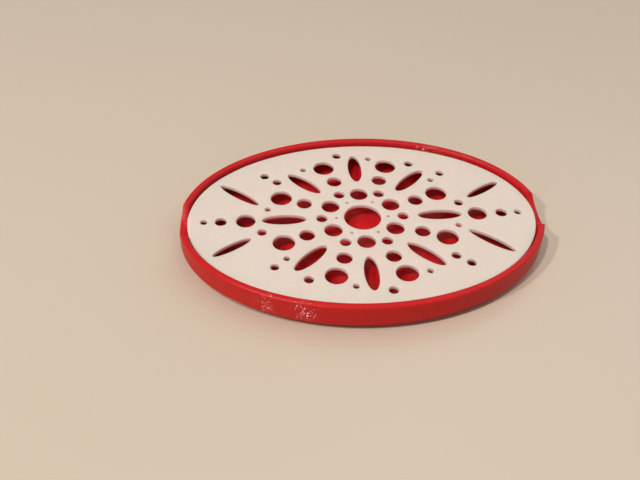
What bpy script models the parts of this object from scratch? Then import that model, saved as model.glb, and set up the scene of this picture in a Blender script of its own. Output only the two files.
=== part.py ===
# Two-piece oval soap holder: a shallow tray and a loose pierced drain plate that lies in it.
# Metres, +Z up. The origin is the centre of the tray's flat underside.
# +X runs along the long axis, so the finger notches are at the +X and -X ends.

import math

import bmesh
import bpy
from mathutils import Matrix, Vector

# Drain plate, overall
plate_length = 0.1200
plate_width = 0.0810
plate_thickness = 0.0016
plate_edge_steps = 120

# Drain plate, rosette around the centre: each ring has its own radius and hole size
centre_hole_diameter = 0.0129
pin_ring_radius = 0.0090
pin_hole_diameter = 0.0011
inner_ring_radius = 0.01225
inner_hole_diameter = 0.00635
spoke_ring_radius = 0.0141
spoke_hole_diameter = 0.0039
middle_ring_radius = 0.0213
middle_hole_diameter = 0.0054
petal_ring_radius = 0.0270
petal_length = 0.0154
petal_width = 0.0049
outer_ring_radius = 0.0299
outer_hole_diameter = 0.0076
left_dot_radius = 0.0353
left_dot_diameter = 0.0033
right_dot_radius = 0.0330
right_dot_diameter = 0.00225
dot_turn = math.radians(9.8)

# Drain plate, number of holes in the six-fold and eight-fold rings
hexagon = 6
octagon = 8

# Drain plate, features near each end, placed from the end of the plate
end_hole_margin = 0.0055
end_hole_diameters = (0.0025, 0.0041, 0.0067)
end_hole_gaps = (0.0025, 0.0031)
far_petal_setback = 0.0152
far_petal_offset = 0.0128
far_petal_length = 0.0149
far_petal_width = 0.0033
far_petal_slant = math.radians(32.0)
near_petal_setback = 0.0177
near_petal_offset = 0.0138
near_petal_length = 0.0174
near_petal_width = 0.0037
near_petal_slant = math.radians(-40.0)
far_dot_setback = 0.0290
far_dot_offset = 0.0227
far_dot_diameter = 0.0030
near_dot_setback = 0.0268
near_dot_offset = 0.0239
near_dot_diameter = 0.00325

# Tray
tray_height = 0.0104
floor_thickness = 0.0028
wall_at_ends = 0.0021
wall_at_sides = 0.0025
foot_rise = 0.0027
foot_inset = 0.0020
rim_outer_round = 0.0008
rim_inner_round = 0.0007
rim_round_steps = 4
rim_above_plate = 0.0016
ledge_width = 0.0022
tray_steps = 120

# Finger notches: a round dip across the rim at each end
notch_width = 0.0170
notch_depth = 0.0047
notch_steps = 64

# Fits
plate_side_clearance = 0.0007
seat_clearance = 0.0003
cutter_overrun = 0.0020

# Sizes that follow from the ones above
plate_top_z = tray_height - rim_above_plate
plate_bottom_z = plate_top_z - plate_thickness
ledge_top_z = plate_bottom_z - seat_clearance
recess_half_length = plate_length / 2 + plate_side_clearance
recess_half_width = plate_width / 2 + plate_side_clearance
tray_half_length = recess_half_length + wall_at_ends
tray_half_width = recess_half_width + wall_at_sides

# How finely the holes are drawn
hole_chord = 0.0009
fewest_hole_steps = 10

# Colours, as the photo shows them
tray_red = (0.60, 0.030, 0.022, 1.0)
plate_cream = (0.80, 0.70, 0.60, 1.0)


def clear_scene():
    for old_object in list(bpy.data.objects):
        bpy.data.objects.remove(old_object, do_unlink=True)


def plastic(name, colour, roughness):
    """A plain printed plastic."""
    material = bpy.data.materials.new(name)
    material.use_nodes = True
    shader = material.node_tree.nodes["Principled BSDF"]
    shader.inputs["Base Color"].default_value = colour
    shader.inputs["Roughness"].default_value = roughness
    shader.inputs["Metallic"].default_value = 0.0
    return material


def add_object(name, mesh_data, material):
    mesh = bpy.data.meshes.new(name)
    mesh_data.to_mesh(mesh)
    mesh_data.free()
    new_object = bpy.data.objects.new(name, mesh)
    bpy.context.scene.collection.objects.link(new_object)
    if material is not None:
        mesh.materials.append(material)
    return new_object


def make_cutter(cutter):
    cutter.hide_render = True
    cutter.display_type = "WIRE"
    return cutter


def cut(target, cutter):
    """Subtract the cutter from the target."""
    modifier = target.modifiers.new("cut_" + cutter.name, "BOOLEAN")
    modifier.operation = "DIFFERENCE"
    modifier.solver = "EXACT"
    modifier.use_self = True
    modifier.object = cutter


def shade_round(target, sharp_degrees):
    target.data.shade_smooth()
    target.data.set_sharp_from_angle(angle=math.radians(sharp_degrees))


def oval(half_length, half_width, steps):
    """Corner points of an oval, anticlockwise, starting on +X."""
    points = []
    for step in range(steps):
        angle = 2 * math.pi * step / steps
        points.append(Vector((half_length * math.cos(angle), half_width * math.sin(angle))))
    return points


def add_ring(mesh_data, outline, height):
    return [mesh_data.verts.new((point.x, point.y, height)) for point in outline]


def join_rings(mesh_data, lower, upper):
    """A band of quads whose normals point away from the axis as lower goes up to upper."""
    count = len(lower)
    for index in range(count):
        after = (index + 1) % count
        mesh_data.faces.new((lower[index], lower[after], upper[after], upper[index]))


def add_prism(mesh_data, outline, low, high):
    bottom = add_ring(mesh_data, outline, low)
    top = add_ring(mesh_data, outline, high)
    join_rings(mesh_data, bottom, top)
    mesh_data.faces.new(list(reversed(bottom)))
    mesh_data.faces.new(top)


def hole_steps(girth):
    """Even number of sides that keeps each side near the chord length."""
    steps = max(fewest_hole_steps, round(girth / hole_chord))
    return steps + steps % 2


def slot(centre, length, width, turn):
    """Outline of an oval hole whose long axis is turned from +X."""
    girth = math.pi * (length + width) / 2
    turned = Matrix.Rotation(turn, 2)
    return [centre + turned @ point for point in oval(length / 2, width / 2, hole_steps(girth))]


def polar(radius, angle):
    return Vector((radius * math.cos(angle), radius * math.sin(angle)))


def round_ring(count, first_turn, radius, diameter):
    """Round holes on a circle; the first turn is in steps of the ring."""
    spacing = 2 * math.pi / count
    holes = []
    for index in range(count):
        centre = polar(radius, (index + first_turn) * spacing)
        holes.append(slot(centre, diameter, diameter, 0.0))
    return holes


def rosette():
    """The hexagon of holes round the centre, then the octagon of petals and holes."""
    holes = [slot(Vector((0.0, 0.0)), centre_hole_diameter, centre_hole_diameter, 0.0)]
    holes += round_ring(hexagon, 0.0, pin_ring_radius, pin_hole_diameter)
    holes += round_ring(hexagon, 0.5, inner_ring_radius, inner_hole_diameter)
    holes += round_ring(hexagon, 0.0, spoke_ring_radius, spoke_hole_diameter)
    holes += round_ring(octagon, 0.5, middle_ring_radius, middle_hole_diameter)
    holes += round_ring(octagon, 0.5, outer_ring_radius, outer_hole_diameter)
    spacing = 2 * math.pi / octagon
    for index in range(octagon):
        angle = index * spacing
        holes.append(slot(polar(petal_ring_radius, angle), petal_length, petal_width, angle))
        left_dot = polar(left_dot_radius, angle + dot_turn)
        holes.append(slot(left_dot, left_dot_diameter, left_dot_diameter, 0.0))
        right_dot = polar(right_dot_radius, angle - dot_turn)
        holes.append(slot(right_dot, right_dot_diameter, right_dot_diameter, 0.0))
    return holes


def end_holes(sign):
    """The row of shrinking holes, two slanted petals and two dots near one end."""
    half_length = plate_length / 2
    holes = []
    reach = half_length - end_hole_margin
    for index, diameter in enumerate(end_hole_diameters):
        if index > 0:
            step = (end_hole_diameters[index - 1] + diameter) / 2 + end_hole_gaps[index - 1]
            reach -= step
        holes.append(slot(Vector((sign * reach, 0.0)), diameter, diameter, 0.0))
    far_petal = Vector((half_length - far_petal_setback, far_petal_offset))
    holes.append(slot(sign * far_petal, far_petal_length, far_petal_width, far_petal_slant))
    near_petal = Vector((half_length - near_petal_setback, -near_petal_offset))
    holes.append(slot(sign * near_petal, near_petal_length, near_petal_width, near_petal_slant))
    far_dot = Vector((half_length - far_dot_setback, far_dot_offset))
    holes.append(slot(sign * far_dot, far_dot_diameter, far_dot_diameter, 0.0))
    near_dot = Vector((half_length - near_dot_setback, -near_dot_offset))
    holes.append(slot(sign * near_dot, near_dot_diameter, near_dot_diameter, 0.0))
    return holes


def build_drain_plate():
    """Flat oval plate, pierced by the whole pattern."""
    blank = bmesh.new()
    edge = oval(plate_length / 2, plate_width / 2, plate_edge_steps)
    add_prism(blank, edge, plate_bottom_z, plate_top_z)
    plate = add_object("drain_plate", blank, plastic("cream_plastic", plate_cream, 0.42))

    punches = bmesh.new()
    for outline in rosette() + end_holes(1) + end_holes(-1):
        add_prism(punches, outline, plate_bottom_z - cutter_overrun, plate_top_z + cutter_overrun)
    cut(plate, make_cutter(add_object("plate_punches", punches, None)))
    shade_round(plate, 50)
    return plate


def rounded_corner(half_length, half_width, radius):
    """Rim points from the outer wall up to the flat top; a negative radius does the inner side."""
    size = abs(radius)
    points = []
    for step in range(rim_round_steps + 1):
        angle = math.pi / 2 * step / rim_round_steps
        inset = radius * (1 - math.cos(angle))
        height = tray_height - size * (1 - math.sin(angle))
        points.append((half_length - inset, half_width - inset, height))
    return points


def tray_profile():
    """Half lengths, half widths and heights from the underside's edge round to the floor's."""
    profile = [(tray_half_length - foot_inset, tray_half_width - foot_inset, 0.0)]
    profile.append((tray_half_length, tray_half_width, foot_rise))
    profile += rounded_corner(tray_half_length, tray_half_width, rim_outer_round)
    inner_side = rounded_corner(recess_half_length, recess_half_width, -rim_inner_round)
    profile += reversed(inner_side)
    profile.append((recess_half_length, recess_half_width, ledge_top_z))
    sump_half_length = recess_half_length - ledge_width
    sump_half_width = recess_half_width - ledge_width
    profile.append((sump_half_length, sump_half_width, ledge_top_z))
    profile.append((sump_half_length, sump_half_width, floor_thickness))
    return profile


def build_tray():
    """Oval wall with a rounded rim, a ledge for the plate and a flat floor."""
    shell = bmesh.new()
    rings = []
    for half_length, half_width, height in tray_profile():
        rings.append(add_ring(shell, oval(half_length, half_width, tray_steps), height))
    for lower, upper in zip(rings, rings[1:]):
        join_rings(shell, lower, upper)
    shell.faces.new(list(reversed(rings[0])))
    shell.faces.new(rings[-1])
    tray = add_object("tray", shell, plastic("red_plastic", tray_red, 0.38))

    # One round bar along X dips into the rim at both ends and clears the floor between them
    notch_radius = (notch_width ** 2 / 4 + notch_depth ** 2) / (2 * notch_depth)
    bar_length = 2 * (tray_half_length + cutter_overrun)
    bar = bmesh.new()
    along_x = Matrix.Rotation(math.pi / 2, 4, "Y")
    lifted = Matrix.Translation((0.0, 0.0, tray_height - notch_depth + notch_radius))
    bmesh.ops.create_cone(
        bar,
        cap_ends=True,
        segments=notch_steps,
        radius1=notch_radius,
        radius2=notch_radius,
        depth=bar_length,
        matrix=lifted @ along_x,
    )
    cut(tray, make_cutter(add_object("notch_bar", bar, None)))
    shade_round(tray, 35)
    return tray


clear_scene()
build_tray()
build_drain_plate()
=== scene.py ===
# Looks of a two-piece oval soap holder: a red printed tray and the pale pierced plate lying in it.
# Metres, +Z up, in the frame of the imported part. +X runs along the long axis.

import math

import bmesh
import bpy
import numpy as np
from mathutils import Euler, Matrix, Vector


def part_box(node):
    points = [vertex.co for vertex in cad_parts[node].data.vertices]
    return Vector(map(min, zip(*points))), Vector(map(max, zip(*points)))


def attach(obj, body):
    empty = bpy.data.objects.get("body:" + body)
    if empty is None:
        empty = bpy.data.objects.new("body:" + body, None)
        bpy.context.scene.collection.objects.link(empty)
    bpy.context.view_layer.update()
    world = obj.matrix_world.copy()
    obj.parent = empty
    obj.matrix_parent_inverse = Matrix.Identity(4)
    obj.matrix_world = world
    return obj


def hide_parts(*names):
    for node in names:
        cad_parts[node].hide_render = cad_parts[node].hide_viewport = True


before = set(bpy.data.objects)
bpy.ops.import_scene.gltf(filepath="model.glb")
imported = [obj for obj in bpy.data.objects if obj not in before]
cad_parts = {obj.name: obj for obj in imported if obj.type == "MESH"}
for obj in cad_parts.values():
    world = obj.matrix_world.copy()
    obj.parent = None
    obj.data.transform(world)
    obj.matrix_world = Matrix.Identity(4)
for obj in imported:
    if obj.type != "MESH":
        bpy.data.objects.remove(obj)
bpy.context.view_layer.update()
plate_low, plate_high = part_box("drain_plate")
tray_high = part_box("tray")[1]

# Tray, with the same sizes as the solid
side_clearance = 0.0007
wall_at_ends = 0.0021
wall_at_sides = 0.0025
foot_rise = 0.0027
foot_inset = 0.0020
rim_outer_round = 0.0008
rim_inner_round = 0.0007
seat_clearance = 0.0003
ledge_width = 0.0022
floor_thickness = 0.0028
notch_width = 0.0170
notch_depth = 0.0047

# Sizes read off the frame
rim_height = tray_high.z
ledge_height = plate_low.z - seat_clearance
recess_half = Vector((plate_high.x + side_clearance, plate_high.y + side_clearance))
outer_half = recess_half + Vector((wall_at_ends, wall_at_sides))
sump_half = recess_half - Vector((ledge_width, ledge_width))

# How the print was laid down
layer_height = 0.00020
line_pitch = 0.00042
groove_depth = 0.000018
edge_round = 0.00013
plate_edge_round = 0.00022
soft_corner = 0.00025

# Marks in the plastic: lines that wobble a little, grain, and patches of a deeper tone
wobble_size = 0.004
wobble_reach = 0.00012
grain_size = 0.00035
grain_share = 0.5
patch_size = 0.012
patch_levels = (0.35, 0.65)
patch_depth = 0.35
mark_detail = 3.0
# How far up from a groove the painted groove shade reaches.
groove_shade_edge = 0.5
flat_levels = (0.80, 0.97)
grain_levels = (0.3, 0.7)
roughness_drop = 0.05
roughness_rise = 0.07

# Bead facets that glint
facet_size = 0.00026
facet_tilts = (math.radians(40), math.radians(68))
facet_turns = (math.radians(-8), math.radians(-4))
facet_gloss = 0.10
facet_share = 0.55
facet_roughness = 0.11

# How the pieces are drawn
oval_steps = 320
rim_steps = 10
rings_per_layer = 3
notch_steps = 96
bevel_steps = 2
bevel_roundness = 0.5
hole_resolution = 8
outline_resolution = 48
quarter_circle_handle = 0.5523
largest_hole_half = 0.030
bar_length = 2.2 * outer_half.x
crease_angle = math.radians(32)

# How near and how level counts as the same
weld_distance = 1e-7
cad_weld_distance = 1e-6
top_face_reach = 1e-5
bar_face_reach = 0.00003
bar_face_slant = 0.05
facing_up = 0.9
level_enough = 0.9999

# Colours
tray_red = (0.600, 0.012, 0.015)
# Painted light: the outer walls are painted a lighter red than the flats, for light that falls on
# them from low in front.
tray_red_wall_painted_lighter = (0.635, 0.012, 0.010)
# The deep red serves both random patches of a deeper tone and painted shade in the grooves between
# printed lines.
tray_red_deep_and_groove_shade = (0.490, 0.007, 0.010)
plate_cream = (0.830, 0.675, 0.600)
# The warm cream serves both random patches of a deeper tone and painted shade in the grooves
# between printed lines.
plate_cream_warm_and_groove_shade = (0.800, 0.635, 0.550)
enamel = (0.637, 0.532, 0.418)

# How far light wanders inside the plastic, by colour
scatter_radius = (1.0, 0.40, 0.60)
scatter_scale = 0.0036

# Floor
floor_half = 3.0
floor_roughness = 0.32
floor_patch_size = 0.09
floor_patch_lift = 1.03

# Camera
focal_length_mm = 44.89
nearest_view = 0.01
camera_place = (-0.03307, -0.20400, 0.19139)
camera_turn_degrees = (46.705, -1.113, -4.132)

# Light
lamp_colour = (1.0, 0.97, 0.93)
lamp_distance = 1.2
key_direction = Vector((-0.578, -0.316, 0.752))
key_size = 0.07
key_power = 4.7
second_direction = Vector((-0.328, -0.304, 0.895))
second_size = 0.07
second_power = 5.1
overhead_direction = Vector((0.45, 0.30, 0.84))
overhead_size = 1.4
overhead_power = 4.3
world_colour = (1.0, 0.985, 0.965, 1.0)
world_level = 0.268

# Sockets of the Mix node when it mixes colours
mix_first_colour = 6
mix_second_colour = 7
mix_colour_result = 2


def oval(half_length, half_width, steps):
    """Corner points of an oval, anticlockwise, starting on +X."""
    points = []
    for step in range(steps):
        angle = 2 * math.pi * step / steps
        points.append((half_length * math.cos(angle), half_width * math.sin(angle)))
    return points


def link_piece(name, mesh, material, body, node):
    """Adds a finished mesh as a piece that stands for one node of the frame."""
    piece = bpy.data.objects.new(name, mesh)
    bpy.context.scene.collection.objects.link(piece)
    mesh.materials.clear()
    mesh.materials.append(material)
    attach(piece, body)
    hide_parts(node)
    return piece


def layered_wall(low, high):
    """(inset, height) pairs up a straight wall, with a fine groove between printed layers."""
    pairs = []
    rings = math.ceil((high[1] - low[1]) / layer_height * rings_per_layer)
    for ring in range(rings + 1):
        share = ring / rings
        inset = low[0] + (high[0] - low[0]) * share
        groove = groove_depth if ring % rings_per_layer == 0 else 0.0
        pairs.append((inset + groove, low[1] + (high[1] - low[1]) * share))
    return pairs


def rim_corner(radius):
    """(inset, height) pairs from the wall up to the flat; a negative radius does the inner side."""
    pairs = []
    for step in range(1, rim_steps + 1):
        angle = math.pi / 2 * step / rim_steps
        height = rim_height - abs(radius) * (1 - math.sin(angle))
        pairs.append((radius * (1 - math.cos(angle)), height))
    return pairs


def outer_profile():
    """(inset from the tray's outer oval, height) up the outside and over the rim's round."""
    profile = layered_wall((foot_inset, 0.0), (0.0, foot_rise))
    profile += layered_wall((0.0, foot_rise), (0.0, rim_height - rim_outer_round))[1:]
    profile += rim_corner(rim_outer_round)
    return profile


def inner_profile():
    """(inset from the recess, height) from the rim's top down to the tray's floor."""
    profile = list(reversed(rim_corner(-rim_inner_round)))
    profile.append((0.0, rim_height - rim_inner_round))
    profile.append((0.0, ledge_height))
    profile.append((ledge_width, ledge_height))
    profile.append((ledge_width, floor_thickness + soft_corner))
    profile.append((ledge_width + soft_corner, floor_thickness))
    return profile


def add_ring(shell, half, inset, height):
    ring = oval(half.x - inset, half.y - inset, oval_steps)
    return [shell.verts.new((x, y, height)) for x, y in ring]


def tray_blank():
    """The whole tray before its finger notches are cut."""
    shell = bmesh.new()
    rings = [add_ring(shell, outer_half, inset, height) for inset, height in outer_profile()]
    rings += [add_ring(shell, recess_half, inset, height) for inset, height in inner_profile()]
    for lower, upper in zip(rings, rings[1:]):
        for index in range(oval_steps):
            after = (index + 1) % oval_steps
            shell.faces.new((lower[index], lower[after], upper[after], upper[index]))
    shell.faces.new(list(reversed(rings[0])))
    shell.faces.new(rings[-1])
    mesh = bpy.data.meshes.new("tray_print")
    shell.to_mesh(mesh)
    shell.free()
    return mesh


def notch_bar():
    """A round bar along X that dips into the rim at both ends."""
    radius = (notch_width ** 2 / 4 + notch_depth ** 2) / (2 * notch_depth)
    bar = bmesh.new()
    bmesh.ops.create_cone(
        bar,
        cap_ends=True,
        segments=notch_steps,
        radius1=radius,
        radius2=radius,
        depth=bar_length,
        matrix=Matrix.Translation((0.0, 0.0, rim_height - notch_depth + radius))
        @ Matrix.Rotation(math.pi / 2, 4, "Y"),
    )
    mesh = bpy.data.meshes.new("notch_bar")
    bar.to_mesh(mesh)
    bar.free()
    return mesh, radius


def with_modifiers(target):
    """The target's mesh with its modifiers applied."""
    depsgraph = bpy.context.evaluated_depsgraph_get()
    return bpy.data.meshes.new_from_object(target.evaluated_get(depsgraph))


def round_notch_edges(mesh, radius):
    """A small bevel where the notch meets the wall and the rim."""
    axis_height = rim_height - notch_depth + radius
    shaped = bmesh.new()
    shaped.from_mesh(mesh)
    bmesh.ops.remove_doubles(shaped, verts=shaped.verts, dist=weld_distance)

    def on_bar(face):
        centre = face.calc_center_median()
        reach = math.hypot(centre.y, centre.z - axis_height)
        return abs(reach - radius) < bar_face_reach and abs(face.normal.x) < bar_face_slant

    edges = [
        edge
        for edge in shaped.edges
        if len(edge.link_faces) == 2 and on_bar(edge.link_faces[0]) != on_bar(edge.link_faces[1])
    ]
    bmesh.ops.bevel(
        shaped,
        geom=edges,
        offset=edge_round,
        segments=bevel_steps,
        profile=bevel_roundness,
        affect="EDGES",
        clamp_overlap=True,
    )
    shaped.to_mesh(mesh)
    shaped.free()


def build_tray(material):
    """The tray's blank with both finger notches cut and their edges rounded."""
    blank = bpy.data.objects.new("tray_blank", tray_blank())
    bar_mesh, radius = notch_bar()
    bar = bpy.data.objects.new("notch_bar", bar_mesh)
    for helper in (blank, bar):
        bpy.context.scene.collection.objects.link(helper)
    modifier = blank.modifiers.new("notches", "BOOLEAN")
    modifier.operation = "DIFFERENCE"
    modifier.solver = "EXACT"
    modifier.object = bar
    mesh = with_modifiers(blank)
    for helper in (blank, bar):
        bpy.data.objects.remove(helper, do_unlink=True)
    round_notch_edges(mesh, radius)
    mesh.shade_smooth()
    mesh.set_sharp_from_angle(angle=crease_angle)
    return link_piece("tray_print", mesh, material, "tray", "tray")


def plate_ovals():
    """Centre, half lengths and turn of the plate's outline and of each hole, off the CAD plate."""
    solid = bmesh.new()
    solid.from_mesh(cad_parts["drain_plate"].data)
    bmesh.ops.remove_doubles(solid, verts=solid.verts, dist=cad_weld_distance)
    top_height = plate_high.z - top_face_reach
    top = {
        face
        for face in solid.faces
        if face.normal.z > facing_up and face.calc_center_median().z > top_height
    }
    neighbours = {}
    for edge in solid.edges:
        if len(top.intersection(edge.link_faces)) == 1:
            first, second = edge.verts
            neighbours.setdefault(first, []).append(second)
            neighbours.setdefault(second, []).append(first)
    found = []
    used = set()
    for start in neighbours:
        if start in used:
            continue
        loop = []
        waiting = [start]
        while waiting:
            vert = waiting.pop()
            if vert not in used:
                used.add(vert)
                loop.append(vert.co.xy)
                waiting += neighbours[vert]
        found.append(fit_oval(loop))
    solid.free()
    return found


def fit_oval(loop):
    """Corners at even steps round an oval: their mean and spread give it exactly."""
    corners = np.array(loop)
    centre = corners.mean(axis=0)
    spread, axes = np.linalg.eigh(np.cov((corners - centre).T, bias=True))
    half_width, half_length = np.sqrt(2 * spread)
    turn = math.atan2(axes[1, 1], axes[0, 1])
    return Vector(centre), half_length, half_width, turn


def add_oval_spline(curve, centre, half_length, half_width, turn):
    """A closed Bezier oval of four points."""
    spline = curve.splines.new("BEZIER")
    spline.bezier_points.add(3)
    spline.use_cyclic_u = True
    is_hole = half_length <= largest_hole_half
    spline.resolution_u = hole_resolution if is_hole else outline_resolution
    turned = Matrix.Rotation(turn, 2)
    for index, point in enumerate(spline.bezier_points):
        angle = math.pi / 2 * index
        on_oval = Vector((half_length * math.cos(angle), half_width * math.sin(angle)))
        along = Vector((-half_length * math.sin(angle), half_width * math.cos(angle)))
        along *= quarter_circle_handle
        point.co = (*(centre + turned @ on_oval), 0.0)
        point.handle_left = (*(centre + turned @ (on_oval - along)), 0.0)
        point.handle_right = (*(centre + turned @ (on_oval + along)), 0.0)


def keep_flats_flat(shaped):
    """Breaks the smooth shading where a round meets a level face, so that face shades evenly."""
    for edge in shaped.edges:
        level = {abs(face.normal.z) > level_enough for face in edge.link_faces}
        edge.smooth = len(level) == 1


def build_plate(material):
    """The pierced plate as one filled outline with a small round on every edge."""
    curve = bpy.data.curves.new("plate_outline", "CURVE")
    curve.dimensions = "2D"
    curve.fill_mode = "BOTH"
    thickness = plate_high.z - plate_low.z
    curve.extrude = thickness / 2 - plate_edge_round
    curve.bevel_depth = plate_edge_round
    curve.bevel_resolution = bevel_steps
    curve.offset = -plate_edge_round
    for centre, half_length, half_width, turn in plate_ovals():
        add_oval_spline(curve, centre, half_length, half_width, turn)
    helper = bpy.data.objects.new("plate_outline", curve)
    bpy.context.scene.collection.objects.link(helper)
    mesh = with_modifiers(helper)
    bpy.data.objects.remove(helper, do_unlink=True)
    joined = bmesh.new()
    joined.from_mesh(mesh)
    bmesh.ops.remove_doubles(joined, verts=joined.verts, dist=weld_distance)
    middle = (plate_high.z + plate_low.z) / 2
    bmesh.ops.translate(joined, verts=joined.verts, vec=(0.0, 0.0, middle))
    bmesh.ops.recalc_face_normals(joined, faces=joined.faces)
    keep_flats_flat(joined)
    joined.to_mesh(mesh)
    joined.free()
    mesh.shade_smooth()
    return link_piece("plate_print", mesh, material, "drain_plate", "drain_plate")


def add_node(tree, kind, inputs=None, **settings):
    """A node with its settings, and its inputs set or linked by name or number."""
    node = tree.nodes.new(kind)
    for name, value in settings.items():
        setattr(node, name, value)
    for key, value in (inputs or {}).items():
        if isinstance(value, bpy.types.NodeSocket):
            tree.links.new(value, node.inputs[key])
        else:
            node.inputs[key].default_value = value
    return node


def math_node(tree, operation, first, second=0.0):
    node = add_node(tree, "ShaderNodeMath", {0: first, 1: second}, operation=operation)
    return node.outputs[0]


def vector_node(tree, operation, first, second):
    return add_node(tree, "ShaderNodeVectorMath", {0: first, 1: second}, operation=operation)


def noise(tree, place, size, detail=2.0):
    """Smooth noise from 0 to 1 whose blobs are about this size in metres."""
    inputs = {"Vector": place, "Scale": 1 / size, "Detail": detail}
    return add_node(tree, "ShaderNodeTexNoise", inputs).outputs["Fac"]


def ridges(tree, across, pitch):
    """Rounded printed lines with narrow grooves between them, 0 in a groove and 1 on top."""
    wave = math_node(tree, "SINE", math_node(tree, "MULTIPLY", across, math.pi / pitch))
    return math_node(tree, "ABSOLUTE", wave)


def remap(tree, value, from_low, from_high, to_low, to_high):
    """The value moved from one range to another, and held within it."""
    inputs = {0: value, 1: from_low, 2: from_high, 3: to_low, 4: to_high}
    return add_node(tree, "ShaderNodeMapRange", inputs).outputs[0]


def mix_numbers(tree, share, low, high):
    node = add_node(tree, "ShaderNodeMix", {0: share, 2: low, 3: high}, data_type="FLOAT")
    return node.outputs[0]


def mix_colours(tree, share, low, high):
    node = add_node(tree, "ShaderNodeMix", {0: share}, data_type="RGBA")
    for index, colour in ((mix_first_colour, low), (mix_second_colour, high)):
        if isinstance(colour, bpy.types.NodeSocket):
            tree.links.new(colour, node.inputs[index])
        else:
            node.inputs[index].default_value = (*colour, 1.0)
    return node.outputs[mix_colour_result]


def edge_distance(tree, place, half):
    """Distance inward from an oval, near enough for lines that follow its edge."""
    scaled = vector_node(tree, "MULTIPLY", place, (1 / half.x, 1 / half.y, 0.0))
    reach = vector_node(tree, "LENGTH", scaled.outputs[0], (0.0, 0.0, 0.0)).outputs["Value"]
    steep = vector_node(tree, "MULTIPLY", place, (half.x ** -2, half.y ** -2, 0.0))
    slope = vector_node(tree, "LENGTH", steep.outputs[0], (0.0, 0.0, 0.0)).outputs["Value"]
    short = math_node(tree, "SUBTRACT", 1.0, reach)
    return math_node(tree, "DIVIDE", math_node(tree, "MULTIPLY", short, reach), slope)


def printed_plastic(
    name,
    colour,
    wall_painted_light_colour,
    deep_tone_and_groove_shade,
    half,
    raster_inside,
    roughness,
    relief,
    groove_painted_shade,
    glow,
    gloss,
):
    """Printed plastic: layer lines on walls, lines along the edge, and diagonal lines on flats,
    with painted shade in the grooves and painted light on the outer walls.
    """
    material = bpy.data.materials.new(name)
    material.use_nodes = True
    tree = material.node_tree
    shader = tree.nodes["Principled BSDF"]
    coordinates = add_node(tree, "ShaderNodeTexCoord")
    place = coordinates.outputs["Object"]
    parts = add_node(tree, "ShaderNodeSeparateXYZ", {0: place})
    facing = add_node(tree, "ShaderNodeSeparateXYZ", {0: coordinates.outputs["Normal"]})

    wobble = math_node(tree, "MULTIPLY", noise(tree, place, wobble_size), wobble_reach)
    inward = edge_distance(tree, place, half)
    along_edge = ridges(tree, math_node(tree, "ADD", inward, wobble), line_pitch)
    diagonal = math_node(tree, "ADD", parts.outputs["X"], parts.outputs["Y"])
    diagonal = math_node(tree, "MULTIPLY", diagonal, math.sqrt(0.5))
    raster = ridges(tree, math_node(tree, "ADD", diagonal, wobble), line_pitch)
    is_raster = math_node(tree, "GREATER_THAN", inward, raster_inside)
    flat_lines = mix_numbers(tree, is_raster, along_edge, raster)
    layers = ridges(tree, parts.outputs["Z"], layer_height)
    upness = math_node(tree, "ABSOLUTE", facing.outputs["Z"])
    is_flat = remap(tree, upness, *flat_levels, 0.0, 1.0)
    lines = mix_numbers(tree, is_flat, layers, flat_lines)

    grain = noise(tree, place, grain_size, mark_detail)
    patches = noise(tree, place, patch_size, mark_detail)
    height = math_node(tree, "ADD", lines, math_node(tree, "MULTIPLY", grain, grain_share))
    bump = add_node(tree, "ShaderNodeBump", {"Height": height})
    bump.inputs["Strength"].default_value = 1.0
    bump.inputs["Distance"].default_value = relief
    tree.links.new(bump.outputs[0], shader.inputs["Normal"])

    patch_share = remap(tree, patches, *patch_levels, 0.0, patch_depth)
    tone = mix_colours(tree, patch_share, colour, deep_tone_and_groove_shade)
    # Painted light: the outer walls, below the rim's round, take the lighter wall colour.
    is_outside = math_node(tree, "LESS_THAN", inward, rim_outer_round)
    painted_light_wall_share = math_node(tree, "MULTIPLY", is_outside, math_node(tree, "SUBTRACT", 1.0, is_flat))
    tone = mix_colours(tree, painted_light_wall_share, tone, wall_painted_light_colour)
    # Painted shade: the grooves between printed lines are darkened towards the deep colour.
    groove_shade_share = remap(tree, lines, 0.0, groove_shade_edge, groove_painted_shade, 0.0)
    tone = mix_colours(tree, groove_shade_share, tone, deep_tone_and_groove_shade)
    tree.links.new(tone, shader.inputs["Base Color"])
    smoothest = roughness - roughness_drop
    roughest = roughness + roughness_rise
    rough = remap(tree, grain, *grain_levels, smoothest, roughest)
    tree.links.new(rough, shader.inputs["Roughness"])
    shader.inputs["Specular IOR Level"].default_value = gloss
    shader.inputs["Subsurface Weight"].default_value = glow
    shader.inputs["Subsurface Radius"].default_value = scatter_radius
    shader.inputs["Subsurface Scale"].default_value = scatter_scale
    return material


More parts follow.
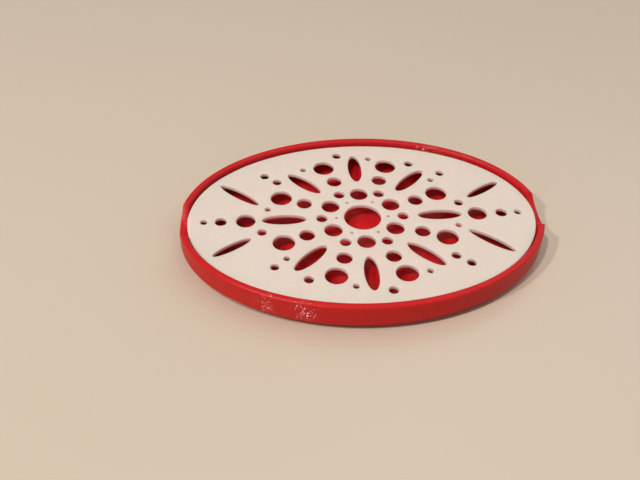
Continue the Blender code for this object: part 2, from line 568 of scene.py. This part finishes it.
def add_glints(material):
    """Tiny bead facets, tilted and turned by chance, that glint where one mirrors a lamp."""
    tree = material.node_tree
    shader = tree.nodes["Principled BSDF"]
    coordinates = add_node(tree, "ShaderNodeTexCoord")
    inputs = {"Vector": coordinates.outputs["Object"], "Scale": 1 / facet_size}
    facets = add_node(tree, "ShaderNodeTexVoronoi", inputs)
    chance = add_node(tree, "ShaderNodeSeparateColor", {0: facets.outputs["Color"]})
    tilt = remap(tree, chance.outputs["Red"], 0.0, 1.0, *facet_tilts)
    level = vector_node(tree, "MULTIPLY", coordinates.outputs["Normal"], (1.0, 1.0, 0.0))
    turn = remap(tree, chance.outputs["Blue"], 0.0, 1.0, *facet_turns)
    turned = add_node(
        tree,
        "ShaderNodeVectorRotate",
        {"Vector": level.outputs[0], "Angle": turn},
        rotation_type="Z_AXIS",
    )
    outward = vector_node(tree, "NORMALIZE", turned.outputs[0], (0.0, 0.0, 0.0))
    reach = math_node(tree, "COSINE", tilt)
    sideways = add_node(tree, "ShaderNodeVectorMath", {0: outward.outputs[0]}, operation="SCALE")
    tree.links.new(reach, sideways.inputs["Scale"])
    upward = add_node(tree, "ShaderNodeCombineXYZ", {"Z": math_node(tree, "SINE", tilt)})
    facing = vector_node(tree, "ADD", sideways.outputs[0], upward.outputs[0])
    in_world = add_node(
        tree,
        "ShaderNodeVectorTransform",
        {0: facing.outputs[0]},
        vector_type="NORMAL",
        convert_from="OBJECT",
        convert_to="WORLD",
    )
    tree.links.new(in_world.outputs[0], shader.inputs["Coat Normal"])
    is_facet = math_node(tree, "LESS_THAN", chance.outputs["Green"], facet_share)
    glints = math_node(tree, "MULTIPLY", is_facet, facet_gloss)
    tree.links.new(glints, shader.inputs["Coat Weight"])
    shader.inputs["Coat Roughness"].default_value = facet_roughness


def enamel_floor():
    """Pale glossy ledge that the holder stands on."""
    material = bpy.data.materials.new("pale_enamel")
    material.use_nodes = True
    tree = material.node_tree
    shader = tree.nodes["Principled BSDF"]
    place = add_node(tree, "ShaderNodeTexCoord").outputs["Object"]
    patches = noise(tree, place, floor_patch_size)
    paler = tuple(channel * floor_patch_lift for channel in enamel)
    tree.links.new(mix_colours(tree, patches, enamel, paler), shader.inputs["Base Color"])
    shader.inputs["Roughness"].default_value = floor_roughness
    mesh = bpy.data.meshes.new("floor")
    ground = bmesh.new()
    bmesh.ops.create_grid(ground, x_segments=1, y_segments=1, size=floor_half)
    ground.to_mesh(mesh)
    ground.free()
    floor = bpy.data.objects.new("floor", mesh)
    bpy.context.scene.collection.objects.link(floor)
    mesh.materials.append(material)


def aim(rig, target):
    rig.rotation_euler = (target - rig.location).to_track_quat("-Z", "Y").to_euler()


def add_lamp(name, direction, size, power):
    lamp = bpy.data.lights.new(name, "AREA")
    lamp.shape = "DISK"
    lamp.size = size
    lamp.energy = power
    lamp.color = lamp_colour
    rig = bpy.data.objects.new(name, lamp)
    bpy.context.scene.collection.objects.link(rig)
    rig.location = direction.normalized() * lamp_distance
    aim(rig, Vector((0.0, 0.0, rim_height / 2)))


def light_scene():
    add_lamp("key", key_direction, key_size, key_power)
    add_lamp("second", second_direction, second_size, second_power)
    add_lamp("overhead", overhead_direction, overhead_size, overhead_power)
    world = bpy.data.worlds.new("studio")
    bpy.context.scene.world = world
    world.use_nodes = True
    background = world.node_tree.nodes["Background"]
    background.inputs["Color"].default_value = world_colour
    background.inputs["Strength"].default_value = world_level


def add_camera():
    lens = bpy.data.cameras.new("camera")
    lens.lens = focal_length_mm
    lens.clip_start = nearest_view
    rig = bpy.data.objects.new("camera", lens)
    bpy.context.scene.collection.objects.link(rig)
    rig.location = camera_place
    rig.rotation_euler = Euler([math.radians(angle) for angle in camera_turn_degrees], "XYZ")
    bpy.context.scene.camera = rig


red_plastic = printed_plastic(
    "red_printed_plastic",
    colour=tray_red,
    wall_painted_light_colour=tray_red_wall_painted_lighter,
    deep_tone_and_groove_shade=tray_red_deep_and_groove_shade,
    half=outer_half,
    raster_inside=(outer_half - sump_half).y,
    roughness=0.36,
    relief=0.00002,
    groove_painted_shade=0.35,
    glow=0.05,
    gloss=0.20,
)
cream_plastic = printed_plastic(
    "cream_printed_plastic",
    colour=plate_cream,
    wall_painted_light_colour=plate_cream,
    deep_tone_and_groove_shade=plate_cream_warm_and_groove_shade,
    half=plate_high.xy,
    raster_inside=0.0012,
    roughness=0.42,
    relief=0.000004,
    groove_painted_shade=0.06,
    glow=1.0,
    gloss=0.40,
)
add_glints(red_plastic)
build_tray(red_plastic)
build_plate(cream_plastic)
enamel_floor()
light_scene()
add_camera()
bpy.context.scene.view_settings.view_transform = "Standard"
